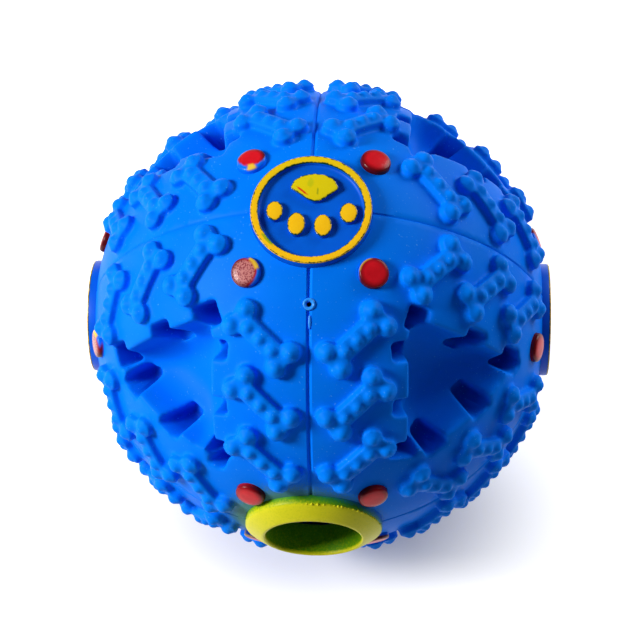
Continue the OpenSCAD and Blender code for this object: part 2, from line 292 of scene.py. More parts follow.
bpy.ops.object.select_all(action="DESELECT")
bpy.ops.mesh.primitive_ico_sphere_add(subdivisions=6, radius=SKIN)
outer = bpy.context.object
first_well = pocket_well()
octants = [turn(90 * k, 0, 0) @ side @ OCTANT for k in range(4) for side in BOTH_SIDES]
combined(outer, joined("wells", copies(first_well, octants)), "DIFFERENCE")
bpy.data.objects.remove(first_well)
for line, (back, (low_lean, high_lean), *spans) in SLOTS.items():
    for low, high in spans:
        first_slot = slot((-back, low), (-FLOOR_IN, high), (SLOT_BACK_LEAN, low_lean), (0, high_lean))
        all_slots = joined("slots", copies(first_slot, [side @ OCTANT for side in line_sides[line]]))
        combined(outer, all_slots, "DIFFERENCE")
        bpy.data.objects.remove(first_slot)

# The bones and the skin become one surface, and their edges are softened as a used mould's are.
SKIN_VOXEL = 0.33
SKIN_SMOOTHING = 5
outer = joined("outer", [outer, *bones])
modified(outer, "REMESH", mode="VOXEL", voxel_size=SKIN_VOXEL)
modified(outer, "SMOOTH", factor=0.5, iterations=SKIN_SMOOTHING)

# The teeth are rounded more than the bones, so the pockets alone are smoothed again, and less so
# at their floors.
POCKET_REACH = 19
POCKET_BLEND = 2
POCKET_SMOOTHING = 12
BONES_FROM = SKIN + 0.3
FLOOR_BLEND = (1, 1.5)      # above the floor: where the smoothing starts to grow, and over how much
FLOOR_LEAST = 0.25
axes = [place.to_3x3() @ Vector((0, 0, 1)) for place in octants]
worn = outer.vertex_groups.new(name="pockets")
for vertex in outer.data.vertices:
    height = vertex.co.length
    if height < BONES_FROM:
        axis = max(axes, key=vertex.co.dot)
        off = (vertex.co - axis * vertex.co.dot(axis)).length
        above_floor = vertex.co.dot(axis) - FLOOR_D
        if off < POCKET_REACH:
            near_floor = max(FLOOR_LEAST, (above_floor - FLOOR_BLEND[0]) / FLOOR_BLEND[1])
            weight = min(1, (POCKET_REACH - off) / POCKET_BLEND, near_floor)
            worn.add([vertex.index], weight, "REPLACE")
modified(outer, "SMOOTH", factor=0.5, iterations=POCKET_SMOOTHING, vertex_group=worn.name)
outer.vertex_groups.clear()

# The parting lines, as fine V grooves. The one between the two halves is the deepest.
GROOVES = {      # half width and depth of each, and the turn that brings it on to its plane
    "middle_groove": (0.55, 0.5, turn(0, 90, 0)),
    "level_groove": (0.3, 0.25, turn(0, 0, 0)),
    "cross_groove": (0.3, 0.25, turn(90, 0, 0)),
}
CUTTER_TOP = SKIN + 1
for groove, (half_width, depth, place) in GROOVES.items():
    spread = half_width * (CUTTER_TOP - SKIN + depth) / depth
    profile = [(SKIN - depth, 0), (CUTTER_TOP, spread), (CUTTER_TOP, -spread)]
    ring = turned(groove, profile, 360, hollow=True)
    combined(outer, moved(ring, place), "DIFFERENCE")

# The hollow inside, which leaves a cup round each pocket and a socket at each end of the tube.
CUP_FLOOR_D = FLOOR_D - WALL
CUP_FLOOR_R = 17.9
CUP_MOUTH_R = 22.9
TUBE_R = 11.05
SOCKET_R = 12.85
SOCKET_MOUTH_D = 34
SOCKET_FLOOR_D = 40
bpy.ops.object.select_all(action="DESELECT")
bpy.ops.mesh.primitive_ico_sphere_add(subdivisions=5, radius=SKIN - WALL)
hollow = bpy.context.object
first_cup = turned("cup", [(CUP_FLOOR_R, CUP_FLOOR_D), (CUP_MOUTH_R, SKIN + WALL)], 64)
for cup in copies(first_cup, octants):
    combined(hollow, cup, "DIFFERENCE")
bpy.data.objects.remove(first_cup)
for side in (-1, 1):
    socket = turned("socket", [(TUBE_R, SOCKET_FLOOR_D), (TUBE_R, SOCKET_MOUTH_D),
                               (SOCKET_R, SOCKET_MOUTH_D), (SOCKET_R, SKIN)], 64)
    combined(hollow, moved(socket, turn(0, side * 90, 0)), "DIFFERENCE")
combined(outer, hollow, "DIFFERENCE")

# The seats: flat ones for the medallions and the collar, round ones for the studs, and the holes.
MEDAL_R = 11.1
MEDAL_SEAT_D = 43.41
COLLAR_R = 13.1
COLLAR_SEAT_D = 42.85
THROAT_R = 10.8
STUD_R = 2.8
STUD_SEAT_D = 44.31
STUD_ANGLE = 20.96
VENT_ANGLE = 22.7
VENT_R = 1.15
VENT_HOLE_R = 0.45
VENT_SEAT_D = 43.5
CLEAR = 0.05
POLES = {
    "top": turn(0, 0, 0), "bottom": turn(180, 0, 0), "hole": turn(90, 0, 0),
    "back": turn(-90, 0, 0), "left": turn(0, -90, 0), "right": turn(0, 90, 0),
}
MEDALLIONS = [pole for pole in POLES if pole != "hole"]
stud_places = [turn(0, 0, 45 + 90 * k) @ turn(0, STUD_ANGLE, 0) for k in range(4)]
medal_seat = cylinder("medal_seat", MEDAL_R + CLEAR, MEDAL_SEAT_D, REACH)
seats = copies(medal_seat, [POLES[pole] for pole in MEDALLIONS])
bpy.data.objects.remove(medal_seat)
stud_seat = cylinder("stud_seat", STUD_R + CLEAR, STUD_SEAT_D, REACH, 48)
seats += copies(stud_seat, [POLES[pole] @ place for pole in POLES for place in stud_places])
bpy.data.objects.remove(stud_seat)
collar_seat = turned("collar_seat", [
    (THROAT_R + CLEAR, SKIN - 2 * WALL), (THROAT_R + CLEAR, COLLAR_SEAT_D),
    (COLLAR_R + CLEAR, COLLAR_SEAT_D), (COLLAR_R + CLEAR, REACH)])
seats.append(moved(collar_seat, POLES["hole"]))
vent_seat = turned("vent_seat", [
    (VENT_HOLE_R, SKIN - 2 * WALL), (VENT_HOLE_R, VENT_SEAT_D),
    (VENT_R + CLEAR, VENT_SEAT_D), (VENT_R + CLEAR, REACH)], 32)
seats.append(moved(vent_seat, turn(VENT_ANGLE, 0, 0)))
combined(outer, joined("seats", seats), "DIFFERENCE")

# The halves, each with two marks for light painted on the vinyl: how deep a point lies in a slot,
# for painted shade, and how proud it stands on a bone, for a painted highlight.
HOME = Matrix.Translation((0, 0, CENTRE)) @ Matrix.Scale(MM, 4)
MOST_TRIANGLES = 190000
PROUD = (0.9, 2.5)      # above the skin: where the mark on a bone starts, and where it is full
SLOT_SHADE = (0.6, 3.6)      # below the skin: the same for a slot
SLOT_BEYOND = (0.2, 2.0)      # and outwards from the cup's sloping wall


def part_way(value, low, high):
    """How far the value has come from low to high, from 0 to 1."""
    return min(1, max(0, (value - low) / (high - low)))


octant_views = [[turn(0, 0, 120 * k) @ place.inverted() for k in range(3)] for place in octants]
shells = []
for name, side in (("ball_shell_left", -1), ("ball_shell_right", 1)):
    half = copies(outer, [Matrix.Identity(4)])[0]
    half.name = half.data.name = name
    low_x, high_x = sorted((0, -side * REACH))
    combined(half, block("rest", (low_x, -REACH, -REACH), (high_x, REACH, REACH)), "DIFFERENCE")
    half.data.calc_loop_triangles()
    kept = MOST_TRIANGLES / len(half.data.loop_triangles)
    if kept < 1:
        modified(half, "DECIMATE", ratio=kept)
    for mark in ("deep", "proud"):
        half.data.attributes.new(mark, "FLOAT", "POINT")
    marks = [half.data.attributes[mark].data for mark in ("deep", "proud")]
    for vertex, deep_mark, proud_mark in zip(half.data.vertices, *marks):
        down = SKIN - vertex.co.length
        proud_mark.value = part_way(-down, *PROUD)
        # Painted shade in the slots: how far down and in from the cup's wall a point lies.
        if SLOT_SHADE[0] < down < SLOT_DEPTH + 1:
            views = max(octant_views, key=lambda views: (views[0] @ vertex.co).z)
            spots = [view @ vertex.co for view in views]
            beyond = max(-spot.x for spot in spots) - FLOOR_IN - SLOPE * (spots[0].z - FLOOR_D)
            deep_mark.value = part_way(beyond, *SLOT_BEYOND) * part_way(down, *SLOT_SHADE)
    moved(half, HOME)
    shells.append(half)
bpy.data.objects.remove(outer)


def colour(code):
    """The linear colour of an sRGB hex value."""
    parts = [int(code[i:i + 2], 16) / 255 for i in (1, 3, 5)]
    return tuple(c / 12.92 if c <= 0.04045 else ((c + 0.055) / 1.055) ** 2.4 for c in parts) + (1,)


def material(name, **settings):
    """A new material with its shader, whose sockets get these plain values."""
    made = bpy.data.materials.new(name)
    made.use_nodes = True
    shader = made.node_tree.nodes["Principled BSDF"]
    for socket, value in settings.items():
        shader.inputs[socket.replace("_", " ")].default_value = value
    return made


def node(owner, kind, inputs=None, **settings):
    """Adds a node with its settings. An input is a plain value or another node's output."""
    tree = owner.node_tree
    made = tree.nodes.new("ShaderNode" + kind)
    for name, value in settings.items():
        setattr(made, name, value)
    for name, value in (inputs or {}).items():
        if isinstance(value, bpy.types.NodeSocket):
            tree.links.new(value, made.inputs[name])
        else:
            made.inputs[name].default_value = value
    return made


def link(owner, output, socket):
    owner.node_tree.links.new(output, owner.node_tree.nodes["Principled BSDF"].inputs[socket])


def dressed(piece, name, finish, node_name, body="ball", angle=40):
    """Finishes a piece: its name, shading and material, and the node that it stands for."""
    piece.name = piece.data.name = name
    select_only(piece)
    bpy.ops.object.shade_smooth_by_angle(angle=math.radians(angle))
    piece.data.materials.clear()
    piece.data.materials.append(finish)
    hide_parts(node_name)
    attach(piece, body)


# Soft PVC, moulded against a lightly blasted mould: an even deep blue with a satin gloss, a fine
# grain (drawn coarser than the real 0.1 mm, so that it shows) and a few bits of dust. Painted shade
# makes it darker in the slots, a painted highlight makes the bones' tops paler, and some of the
# collar's spray has drifted on to it.
SPRAY_MIDDLE = (-2.1, 0.8)      # of the drift, right and up from the middle of the hole
SPRAY_REACH = 17.0
SPRAY_FULL = 12.4
SPRAY_FRONT_Y = -20
VINYL_GRAIN = 0.5
# The paler blue on the bones' tops is a painted highlight.
BONE_HIGHLIGHT_SHARE = 0.18      # how far the bones' tops go towards the paler blue
vinyl = material("moulded_soft_vinyl", Roughness=0.45, IOR=1.53, Specular_IOR_Level=0.025)
place = node(vinyl, "TexCoord").outputs["Object"]
tone = node(vinyl, "TexNoise", {"Vector": place, "Scale": 1 / (11 * MM), "Detail": 3.0})
blue = node(vinyl, "Mix", {"Factor": tone.outputs["Fac"], "A": colour("#0074F8"),
                           "B": colour("#0082FC")}, data_type="RGBA")
# Painted shade: the vinyl is drawn a darker blue down in the slots.
slot_shade_share = node(vinyl, "Attribute", attribute_name="deep")
shaded_slots = node(vinyl, "Mix", {"Factor": slot_shade_share.outputs["Fac"], "A": blue.outputs["Result"],
                               "B": colour("#004CC8")}, data_type="RGBA")
# Painted highlight: the bones' tops are drawn a paler blue.
proud = node(vinyl, "Attribute", attribute_name="proud")
highlight_share = node(vinyl, "Math", {0: proud.outputs["Fac"], 1: BONE_HIGHLIGHT_SHARE}, operation="MULTIPLY")
highlighted_tops = node(vinyl, "Mix", {"Factor": highlight_share.outputs[0], "A": shaded_slots.outputs["Result"],
                                "B": colour("#0CA0FF")}, data_type="RGBA")
xyz = node(vinyl, "SeparateXYZ", {"Vector": place})
across = node(vinyl, "Math", {0: xyz.outputs["X"], 1: SPRAY_MIDDLE[0] * MM}, operation="SUBTRACT")
upwards = node(vinyl, "Math", {0: xyz.outputs["Z"], 1: CENTRE + SPRAY_MIDDLE[1] * MM},
               operation="SUBTRACT")
flat = node(vinyl, "CombineXYZ", {"X": across.outputs[0], "Y": upwards.outputs[0]})
away = node(vinyl, "VectorMath", {0: flat.outputs[0]}, operation="LENGTH")
drift = node(vinyl, "MapRange", {"Value": away.outputs["Value"], "From Min": SPRAY_REACH * MM,
                                 "From Max": SPRAY_FULL * MM, "To Min": 0.0, "To Max": 1.0})
front = node(vinyl, "Math", {0: xyz.outputs["Y"], 1: SPRAY_FRONT_Y * MM}, operation="LESS_THAN")
droplets = node(vinyl, "TexNoise", {"Vector": place, "Scale": 1 / (0.35 * MM), "Detail": 2.0})
wet = node(vinyl, "Math", {0: drift.outputs[0], 1: front.outputs[0]}, operation="MULTIPLY")
speck = node(vinyl, "Math", {0: droplets.outputs["Fac"], 1: 1.5, 2: -0.75}, operation="MULTIPLY_ADD")
sum_up = node(vinyl, "Math", {0: wet.outputs[0], 1: speck.outputs[0]}, operation="ADD")
thin = node(vinyl, "MapRange", {"Value": sum_up.outputs[0], "From Min": 0.05, "From Max": 0.75,
                                "To Min": 0.0, "To Max": 0.75})
thin_wet = node(vinyl, "Math", {0: thin.outputs[0], 1: wet.outputs[0]}, operation="MULTIPLY")
misted = node(vinyl, "Mix", {"Factor": thin_wet.outputs[0], "A": highlighted_tops.outputs["Result"],
                             "B": colour("#5C8C1C")}, data_type="RGBA")
dust = node(vinyl, "TexNoise", {"Vector": place, "Scale": 1 / (0.45 * MM), "Detail": 1.0})
bits = node(vinyl, "MapRange", {"Value": dust.outputs["Fac"], "From Min": 0.7, "From Max": 0.8,
                                "To Min": 0.0, "To Max": 0.55})
dusty = node(vinyl, "Mix", {"Factor": bits.outputs[0], "A": misted.outputs["Result"],
                            "B": colour("#5CB4FF")}, data_type="RGBA")
link(vinyl, dusty.outputs["Result"], "Base Color")
grain = node(vinyl, "TexNoise", {"Vector": place, "Scale": 1 / (VINYL_GRAIN * MM), "Detail": 2.0})
rise = node(vinyl, "Bump", {"Height": grain.outputs["Fac"], "Strength": 0.25, "Distance": 0.03 * MM})
link(vinyl, rise.outputs["Normal"], "Normal")

for half, node_name in zip(shells, ("shell_left", "shell_right")):
    dressed(half, half.name, vinyl, node_name)

# The collar: a thick rim moulded round the treat hole, sprayed yellow from the front. The coat is
# full on the sloping face and the lip, thin and so green in the throat, and fades into droplets
# on the blue outer wall.
LIP_R = 9.2
LIP_D = 46.0      # where the lip starts to curve round
RIM_D = 44.6
THROAT_D = 40.588
collar = turned("treat_collar", [
    (LIP_R, THROAT_D), (THROAT_R, THROAT_D), (THROAT_R, COLLAR_SEAT_D), (COLLAR_R, COLLAR_SEAT_D),
    (COLLAR_R, 43.3), (COLLAR_R, 43.6), (COLLAR_R, 43.9), (COLLAR_R, 44.2), (13.05, 44.45),
    (12.85, 44.7), (12.3, 45.15), (11.5, 45.7), (10.7, 46.22), (10.1, 46.58), (9.8, 46.73),
    (9.5, 46.8), (9.3, 46.7), (LIP_R, 46.5), (LIP_R, LIP_D), (LIP_R, 45.0), (LIP_R, 43.5),
    (LIP_R, 42)], 160, hollow=True)

# Dried droplets of the spray, along the edge of the sloping face above and to the right of the hole.
FLAKES = 22
FLAKE_R = 0.19
FLAKE_RING_R = 12.93
FLAKE_RING_D = 44.62
FLAKE_START = 12
FLAKE_ARC = 88
flakes = []
for k in range(FLAKES):
    bearing = math.radians(FLAKE_START + FLAKE_ARC * k / FLAKES + 1.5 * math.sin(7 * k))
    bpy.ops.object.select_all(action="DESELECT")
    bpy.ops.mesh.primitive_ico_sphere_add(subdivisions=2, radius=FLAKE_R + 0.08 * math.sin(5 * k))
    rim_spot = (FLAKE_RING_R * math.cos(bearing), FLAKE_RING_R * math.sin(bearing), FLAKE_RING_D)
    flakes.append(moved(bpy.context.object, Matrix.Translation(rim_spot)))
FIRST_FLAKE_POINT = len(collar.data.vertices)
collar = joined("treat_collar", [collar, *flakes])

# How thick the coat lies, where 1 is a full coat: thinner down the throat, and on the outer wall
# thinner away from the left and from the front.
THROAT_COAT = 0.62
LIP_EXTRA = 0.6      # for each mm beyond the start of the lip
THROAT_FADE = 0.012      # for each mm into the throat
WALL_COAT = 0.52
WALL_COAT_D = 44.2
WALL_FADE = 0.2
LEFT_EXTRA = 0.3
coat = collar.data.attributes.new("coat", "FLOAT", "POINT")
for vertex, mark in zip(collar.data.vertices, coat.data):
    r, h = math.hypot(vertex.co.x, vertex.co.y), vertex.co.z
    left = -vertex.co.x / r * 0.9 + vertex.co.y / r * 0.45
    if r < LIP_R + CLEAR:
        mark.value = THROAT_COAT + LIP_EXTRA * max(0, h - LIP_D) - THROAT_FADE * max(0, LIP_D - h)
    elif h < RIM_D and vertex.index < FIRST_FLAKE_POINT:
        mark.value = part_way(WALL_COAT + LEFT_EXTRA * left + WALL_FADE * (h - WALL_COAT_D), 0, 1)
    else:
        mark.value = 1
spray = material("sprayed_lime_paint", Roughness=0.42, Specular_IOR_Level=0.15)
place = node(spray, "TexCoord").outputs["Object"]
cover = node(spray, "Attribute", attribute_name="coat")
droplets = node(spray, "TexNoise", {"Vector": place, "Scale": 1 / (0.4 * MM), "Detail": 3.0})
cloud = node(spray, "TexNoise", {"Vector": place, "Scale": 1 / (3 * MM), "Detail": 3.0})
uneven = node(spray, "Math", {0: droplets.outputs["Fac"], 1: 0.36, 2: -0.18},
              operation="MULTIPLY_ADD")
laid = node(spray, "Math", {0: cover.outputs["Fac"], 1: uneven.outputs[0]}, operation="ADD")
layers = node(spray, "ValToRGB", {"Fac": laid.outputs[0]})
stops = layers.color_ramp.elements
stops[0].color, stops[1].color = colour("#0070F2"), colour("#DCD60E")
for thickness, code in ((0.22, "#0E74A8"), (0.42, "#2F8A2C"), (0.6, "#5E9A06"), (0.8, "#BCC408")):
    stops.new(thickness).color = colour(code)
patchy = node(spray, "Mix", {"Factor": cloud.outputs["Fac"], "A": layers.outputs["Color"],
                             "B": colour("#F2E62C")}, data_type="RGBA")
full = node(spray, "MapRange", {"Value": laid.outputs[0], "From Min": 0.75, "From Max": 1.05,
                                "To Min": 0.0, "To Max": 0.6})
yellow_side = node(spray, "Mix", {"Factor": full.outputs[0], "A": layers.outputs["Color"],
                                  "B": patchy.outputs["Result"]}, data_type="RGBA")
link(spray, yellow_side.outputs["Result"], "Base Color")
orange_peel = node(spray, "TexNoise", {"Vector": place, "Scale": 1 / (0.6 * MM), "Detail": 2.0})
rise = node(spray, "Bump", {"Height": orange_peel.outputs["Fac"], "Strength": 0.3,
                            "Distance": 0.04 * MM})
link(spray, rise.outputs["Normal"], "Normal")
moved(moved(collar, POLES["hole"]), HOME)
dressed(collar, "treat_hole_collar", spray, "treat_collar", angle=50)

# The vent eyelet: a small ring moulded round the pin hole through which the ball breathes. The pin
# has left it glossier than the skin, its paler blue is a painted highlight, and a short raised run of
# vinyl lies below it.
RUN_ANGLE = 26.8
RUN_ASIDE = 0.5
RUN_SIZE = (0.26, 1.35, 0.22)      # half its width, length and height
eyelet = turned("vent", [
    (VENT_HOLE_R, VENT_SEAT_D), (VENT_R, VENT_SEAT_D), (VENT_R, 45.12), (1.06, 45.27), (0.92, 45.33),
    (0.78, 45.31), (0.62, 45.2), (0.5, 45.02), (VENT_HOLE_R, 44.8)], 40, hollow=True)
moved(eyelet, turn(VENT_ANGLE, 0, 0))
run = bump(RUN_ASIDE, 0, 1, 1)
on_skin = Matrix.LocRotScale((0, 0, SKIN), None, RUN_SIZE)
moved(run, turn(RUN_ANGLE, 0, 0) @ on_skin)
eyelet = moved(joined("vent", [eyelet, run]), HOME)
eyelet_vinyl = material("pin_vinyl_with_painted_highlight", Roughness=0.3, IOR=1.53, Specular_IOR_Level=0.3)
place = node(eyelet_vinyl, "TexCoord").outputs["Object"]
eyelet_mottle = node(eyelet_vinyl, "TexNoise", {"Vector": place, "Scale": 1 / (0.6 * MM), "Detail": 2.0})
# Painted highlight: the eyelet is drawn a paler blue than the skin.
painted_highlight = node(eyelet_vinyl, "Mix", {"Factor": eyelet_mottle.outputs["Fac"], "A": colour("#0078FF"),
                              "B": colour("#3CB0FF")}, data_type="RGBA")
link(eyelet_vinyl, painted_highlight.outputs["Result"], "Base Color")
rise = node(eyelet_vinyl, "Bump", {"Height": eyelet_mottle.outputs["Fac"], "Strength": 0.3, "Distance": 0.03 * MM})
link(eyelet_vinyl, rise.outputs["Normal"], "Normal")
dressed(eyelet, "breather_eyelet", eyelet_vinyl, "vent_eyelet", angle=60)

# The medallions: flat discs moulded on the poles, with a raised ring and a paw of one large pad
# and four toes. Their vinyl is drawn a shade darker than the skin, which paints the recess's shade.
MEDAL_FLOOR_D = 44.2
MEDAL_TOP_D = 45.0
PAINT_TOP_D = 45.3
RING_IN = 9.6
PAW_PAD = ((-0.6, 2.0), (0.5, 1.6), (1.7, 1.8), (4.95, 4.3), (4.1, 6.1), (2.4, 7.1), (0.4, 7.35),
           (-1.6, 7.0), (-3.2, 6.0), (-3.95, 4.4))
PAD_CORNER = 0.4
TOES = (      # middle, and half width and height
    (-6.6, -0.35, 1.5, 1.95), (-2.6, -3.0, 1.6, 2.3), (2.2, -3.3, 1.6, 2.2), (6.8, -0.7, 1.6, 2.0),
)
TOE_SIDES = 24
EDGE_STEPS = ((0.3, 0.18), (0.7, 0.12))      # inwards and up, as shares of an edge's rounding
EDGE_RISE = 0.3


def pad_outline(points, soften=0.0):
    """A flat face through these points, with softened corners."""
    bpy.ops.object.select_all(action="DESELECT")
    bpy.ops.mesh.primitive_circle_add(vertices=len(points), radius=1, fill_type="NGON")
    piece = bpy.context.object
    for vertex, (x, y) in zip(piece.data.vertices, points):
        vertex.co = (x, y, 0)
    if soften:
        bpy.ops.object.mode_set(mode="EDIT")
        bpy.ops.mesh.select_all(action="SELECT")
        bpy.ops.mesh.bevel(offset=soften, segments=4, affect="VERTICES")
        bpy.ops.object.mode_set(mode="OBJECT")
    return piece


def paw_outlines():
    outlines = [pad_outline(PAW_PAD, PAD_CORNER)]
    for x, y, wide, high in TOES:
        angles = [math.radians(360 * k / TOE_SIDES) for k in range(TOE_SIDES)]
        oval = [(x + wide * math.cos(a), y + high * math.sin(a)) for a in angles]
        outlines.append(pad_outline(oval))
    return outlines


def raised(outline, low, high, round_off):
    """A pad that stands on the outline, from one height to another, with a rounded top edge."""
    select_only(outline)
    moved(outline, Matrix.Translation((0, 0, low)))
    bpy.ops.object.mode_set(mode="EDIT")
    bpy.ops.mesh.select_all(action="SELECT")
    straight = high - low - round_off * EDGE_RISE
    bpy.ops.mesh.extrude_region_move(TRANSFORM_OT_translate={"value": (0, 0, straight)})
    for inward, up in EDGE_STEPS:
        bpy.ops.mesh.inset(thickness=inward * round_off, depth=up * round_off)
    bpy.ops.mesh.select_all(action="SELECT")
    bpy.ops.mesh.normals_make_consistent(inside=False)
    bpy.ops.object.mode_set(mode="OBJECT")
    return outline


medal = turned("medal", [
    (MEDAL_R, MEDAL_SEAT_D), (MEDAL_R, 44.85), (11.05, 44.95), (10.95, MEDAL_TOP_D),
    (RING_IN + 0.15, MEDAL_TOP_D), (RING_IN + 0.05, 44.95), (RING_IN, 44.85), (RING_IN - 0.05, 44.4),
    (RING_IN - 0.25, 44.24), (RING_IN - 0.5, MEDAL_FLOOR_D), (4, MEDAL_FLOOR_D)], 128)
bare_pads = [raised(pad, MEDAL_FLOOR_D - 0.2, MEDAL_TOP_D, 0.1) for pad in paw_outlines()]
medal = joined("medal", [medal, *bare_pads])
recess = material("vinyl_with_painted_recess_shade", Roughness=0.4, IOR=1.53, Specular_IOR_Level=0.12)
place = node(recess, "TexCoord").outputs["Object"]
tone = node(recess, "TexNoise", {"Vector": place, "Scale": 1 / (4 * MM), "Detail": 4.0})
# Painted shade: the medallions' blue is drawn darker than the skin's.
blue = node(recess, "Mix", {"Factor": tone.outputs["Fac"], "A": colour("#0052C6"),
                            "B": colour("#0068E2")}, data_type="RGBA")
link(recess, blue.outputs["Result"], "Base Color")
grain = node(recess, "TexNoise", {"Vector": place, "Scale": 1 / (VINYL_GRAIN * MM), "Detail": 2.0})
rise = node(recess, "Bump", {"Height": grain.outputs["Fac"], "Strength": 0.25, "Distance": 0.03 * MM})
link(recess, rise.outputs["Normal"], "Normal")
for pole, made in zip(MEDALLIONS, copies(medal, [HOME @ POLES[pole] for pole in MEDALLIONS])):
    dressed(made, "paw_medallion_" + pole, recess, "medallion_" + pole)
bpy.data.objects.remove(medal)

# The yellow on the ring and the paw: a coat rolled on their raised faces, so its edges are ragged,
# and it is thinner and greener on the large pad and the upper part of the ring.
PAINT_ROUND = 0.45
PAD_LEMON = 0.7      # how green the thin coat is: 0 is warm yellow and 1 is lemon
TOE_LEMON = 0.05
RING_LEMON = (0.1, 0.03)      # at the middle of the ring's height, and more for each mm up
EDGE_WIDTH = 0.5      # from a face's edge to where its coat is full
RING_WALL = 0.6      # how much of the coat has run on to the ring's outer wall
PAD_WALL = 0.15      # and on to the walls of the pads
paint_ring = turned("ring", [
    (RING_IN + 0.05, MEDAL_TOP_D), (MEDAL_R - 0.05, MEDAL_TOP_D), (11.03, 45.2), (10.95, 45.27),
    (10.8, PAINT_TOP_D), (10.35, PAINT_TOP_D), (9.9, PAINT_TOP_D), (9.75, 45.27), (9.67, 45.2),
], 160, hollow=True)
pads = [raised(pad, MEDAL_TOP_D - 0.02, PAINT_TOP_D, PAINT_ROUND) for pad in paw_outlines()]
lemons = [None, PAD_LEMON, *[TOE_LEMON for toe in TOES]]
for piece, lemon_share in zip([paint_ring, *pads], lemons):
    for mark in ("edge", "lemon"):
        piece.data.attributes.new(mark, "FLOAT", "POINT")
    marks = [piece.data.attributes[mark].data for mark in ("edge", "lemon")]
    outline = [v.co.xy for v in piece.data.vertices if v.co.z < MEDAL_TOP_D + 0.05]
    for vertex, edge_mark, lemon_mark in zip(piece.data.vertices, *marks):
        if piece is paint_ring:
            r = vertex.co.xy.length
            inside = min(r - RING_IN, MEDAL_R - r) - CLEAR
            lemon_mark.value = max(0, RING_LEMON[0] + RING_LEMON[1] * vertex.co.y)
            wall = RING_WALL if r > 11 else 0
        else:
            inside = min((vertex.co.xy - corner).length for corner in outline)
            lemon_mark.value = lemon_share
            wall = PAD_WALL
        above = vertex.co.z > MEDAL_TOP_D + 0.1
        edge_mark.value = min(1, max(wall, inside / EDGE_WIDTH)) if above else 0
layer = joined("layer", [paint_ring, *pads])
PAINT_MARKS = (      # middle, half length and width in mm, slant, strength and colour of each
    ((-1.75, 3.75), (1.35, 0.2), -40, 0.95, "#E03010"),      # a red scratch on the large pad
    ((1.1, 3.6), (0.2, 0.75), 0, 0.7, "#8C9A10"),      # a dark dash where the coat is thin
    ((-0.2, 5.4), (0.9, 0.6), 80, 0.35, "#8CB414"),      # a greener patch
    ((-7.7, -6.3), (0.35, 1.6), 40, 0.7, "#6CA810"),      # green on the inner edge of the ring
)
yellow = material("rolled_yellow_paint", Roughness=0.2, Specular_IOR_Level=0.35)
place = node(yellow, "TexCoord").outputs["Object"]
cloud = node(yellow, "TexNoise", {"Vector": place, "Scale": 1 / (1.6 * MM), "Detail": 4.0})
warm = node(yellow, "Mix", {"Factor": cloud.outputs["Fac"], "A": colour("#FFB806"),
                            "B": colour("#FFCC18")}, data_type="RGBA")
thinness = node(yellow, "Attribute", attribute_name="lemon")
lemon = node(yellow, "Mix", {"Factor": thinness.outputs["Fac"], "A": warm.outputs["Result"],
                             "B": colour("#D6D000")}, data_type="RGBA")
ragged = node(yellow, "TexNoise", {"Vector": place, "Scale": 1 / (0.55 * MM), "Detail": 3.0})
edges = node(yellow, "Attribute", attribute_name="edge")
rough_edge = node(yellow, "Math", {0: ragged.outputs["Fac"], 1: 1.1, 2: -0.55},
                  operation="MULTIPLY_ADD")
laid = node(yellow, "Math", {0: edges.outputs["Fac"], 1: rough_edge.outputs[0]}, operation="ADD")
rim = node(yellow, "MapRange", {"Value": laid.outputs[0], "From Min": 0.2, "From Max": 0.45,
                                "To Min": 0.0, "To Max": 1.0})
painted = node(yellow, "Mix", {"Factor": rim.outputs[0], "A": colour("#0C4420"),
                               "B": lemon.outputs["Result"]}, data_type="RGBA")
finish_so_far = painted.outputs["Result"]
for (x, y), size, slant, strength, code in PAINT_MARKS:
    patch = node(yellow, "Mapping", {
        "Vector": place, "Location": (x * MM, y * MM, CENTRE + PAINT_TOP_D * MM),
        "Rotation": (0, 0, math.radians(slant)), "Scale": (size[0] * MM, size[1] * MM, 3 * MM),
    }, vector_type="TEXTURE")
    away = node(yellow, "VectorMath", {0: patch.outputs["Vector"]}, operation="LENGTH")
    frayed = node(yellow, "Math", {0: ragged.outputs["Fac"], 1: away.outputs["Value"]},
                  operation="ADD")
    there = node(yellow, "MapRange", {"Value": frayed.outputs[0], "From Min": 1.7, "From Max": 1.2,
                                      "To Min": 0.0, "To Max": strength})
    marked = node(yellow, "Mix", {"Factor": there.outputs[0], "A": finish_so_far,
                                  "B": colour(code)}, data_type="RGBA")
    finish_so_far = marked.outputs["Result"]
link(yellow, finish_so_far, "Base Color")
rise = node(yellow, "Bump", {"Height": cloud.outputs["Fac"], "Strength": 0.35, "Distance": 0.08 * MM})
link(yellow, rise.outputs["Normal"], "Normal")
for pole, made in zip(MEDALLIONS, copies(layer, [HOME @ POLES[pole] for pole in MEDALLIONS])):
    dressed(made, "paw_paint_" + pole, yellow, "paw_emblem_" + pole, angle=50)
bpy.data.objects.remove(layer)

# The studs: four blunt buttons moulded round each pole, each with a dab of glossy red lacquer. The
# dabs don't all sit true, so some leave blue or a sliver of yellow undercoat bare, and a few have
# dried matt and speckled.
STUD_TOP_D = 46.2
